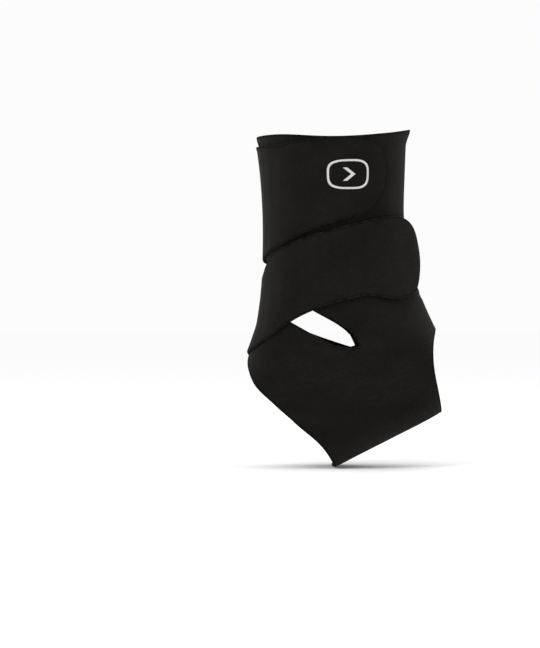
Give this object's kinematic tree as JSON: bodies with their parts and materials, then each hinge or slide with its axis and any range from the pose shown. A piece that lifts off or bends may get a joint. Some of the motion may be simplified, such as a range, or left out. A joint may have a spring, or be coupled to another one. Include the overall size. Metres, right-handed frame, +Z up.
{
  "type": "ankle compression wrap",
  "caption": "Thin ankle compression sleeve with open front and heel, two wrap-round hook-and-loop straps, and an inner pocket holding a removable cold gel pack.",
  "frame": {"origin": "middle of the flat outer face under the arch, where the wrap lies on an insole", "axes": "+Z up along the lower leg, +X towards the heel, -X towards the toes, -Y towards the inner (medial) side of a right ankle; the foot part points forwards and down, so the insole face tilts 26.8 degrees"},
  "size_m": [0.1163, 0.0843, 0.2027],
  "materials": {
    "compression_fabric": "matte knit, warm black",
    "strap_fabric": "matte knit, warm black",
    "hook_tape": "matte moulded hooks",
    "loop_tape": "brushed loops",
    "silicone": "satin, translucent grey",
    "seam_tape": "satin bonded tape",
    "label": "woven satin",
    "pocket_mesh": "open mesh",
    "cold_gel": "translucent gel",
    "pack_film": "clear film",
    "grey_print": "matte heat transfer"
  },
  "bodies": {
    "sleeve": {"main_panel": "compression_fabric", "upper_strap_root": "strap_fabric", "lower_strap_root": "strap_fabric", "upper_loop_pad": "loop_tape", "lower_loop_pad": "loop_tape", "cuff_grip_band": "silicone", "arch_grip_band": "silicone", "back_seam_tape": "seam_tape", "care_label": "label", "pack_pocket": "pocket_mesh"},
    "upper_front": {"upper_strap_front": "strap_fabric"},
    "upper_side": {"upper_strap_side": "strap_fabric"},
    "upper_tab": {"upper_strap_tab": "strap_fabric", "upper_hook_pad": "hook_tape", "print_frame": "grey_print", "print_chevron": "grey_print"},
    "lower_front": {"lower_strap_front": "strap_fabric"},
    "lower_side": {"lower_strap_side": "strap_fabric"},
    "lower_tab": {"lower_strap_tab": "strap_fabric", "lower_hook_pad": "hook_tape"},
    "cold_pack": {"gel_core": "cold_gel", "pack_film_outer": "pack_film", "pack_film_inner": "pack_film"}
  },
  "joints": [
    {"name": "upper_strap_front_bend", "type": "hinge", "parent": "sleeve", "child": "upper_front", "pos_m": [-0.04378, 0.03835, 0.13942], "axis": [0.0456, -0.0597, -0.9972], "range_deg": [0, 60]},
    {"name": "upper_strap_side_bend", "type": "hinge", "parent": "upper_front", "child": "upper_side", "pos_m": [-0.07563, 0.01149, 0.14027], "axis": [0.0512, -0.0175, -0.9985], "range_deg": [0, 70]},
    {"name": "upper_strap_tab_bend", "type": "hinge", "parent": "upper_side", "child": "upper_tab", "pos_m": [-0.06053, -0.0332, 0.1469], "axis": [0.0563, 0.0588, -0.9967], "range_deg": [0, 60]},
    {"name": "lower_strap_front_bend", "type": "hinge", "parent": "sleeve", "child": "lower_front", "pos_m": [-0.02155, 0.03945, 0.03484], "axis": [-0.744, 0.0161, -0.668], "range_deg": [0, 12]},
    {"name": "lower_strap_side_bend", "type": "hinge", "parent": "lower_front", "child": "lower_side", "pos_m": [-0.07749, 0.01638, 0.0668], "axis": [-0.2959, -0.0827, -0.9516], "range_deg": [0, 58]},
    {"name": "lower_strap_tab_bend", "type": "hinge", "parent": "lower_side", "child": "lower_tab", "pos_m": [-0.05377, -0.03473, 0.09615], "axis": [0.2242, -0.1437, -0.9639], "range_deg": [0, 90]},
    {"name": "cold_pack_slide", "type": "slide", "parent": "sleeve", "child": "cold_pack", "axis": [0, 0, 1], "range_m": [0, 0.075]}
  ],
  "couplings": [
    {"joint": "upper_strap_front_bend", "follows": "upper_strap_tab_bend", "ratio": 1},
    {"joint": "upper_strap_side_bend", "follows": "upper_strap_tab_bend", "ratio": 1.1667},
    {"joint": "lower_strap_front_bend", "follows": "lower_strap_tab_bend", "ratio": 0.13333},
    {"joint": "lower_strap_side_bend", "follows": "lower_strap_tab_bend", "ratio": 0.64444}
  ]
}
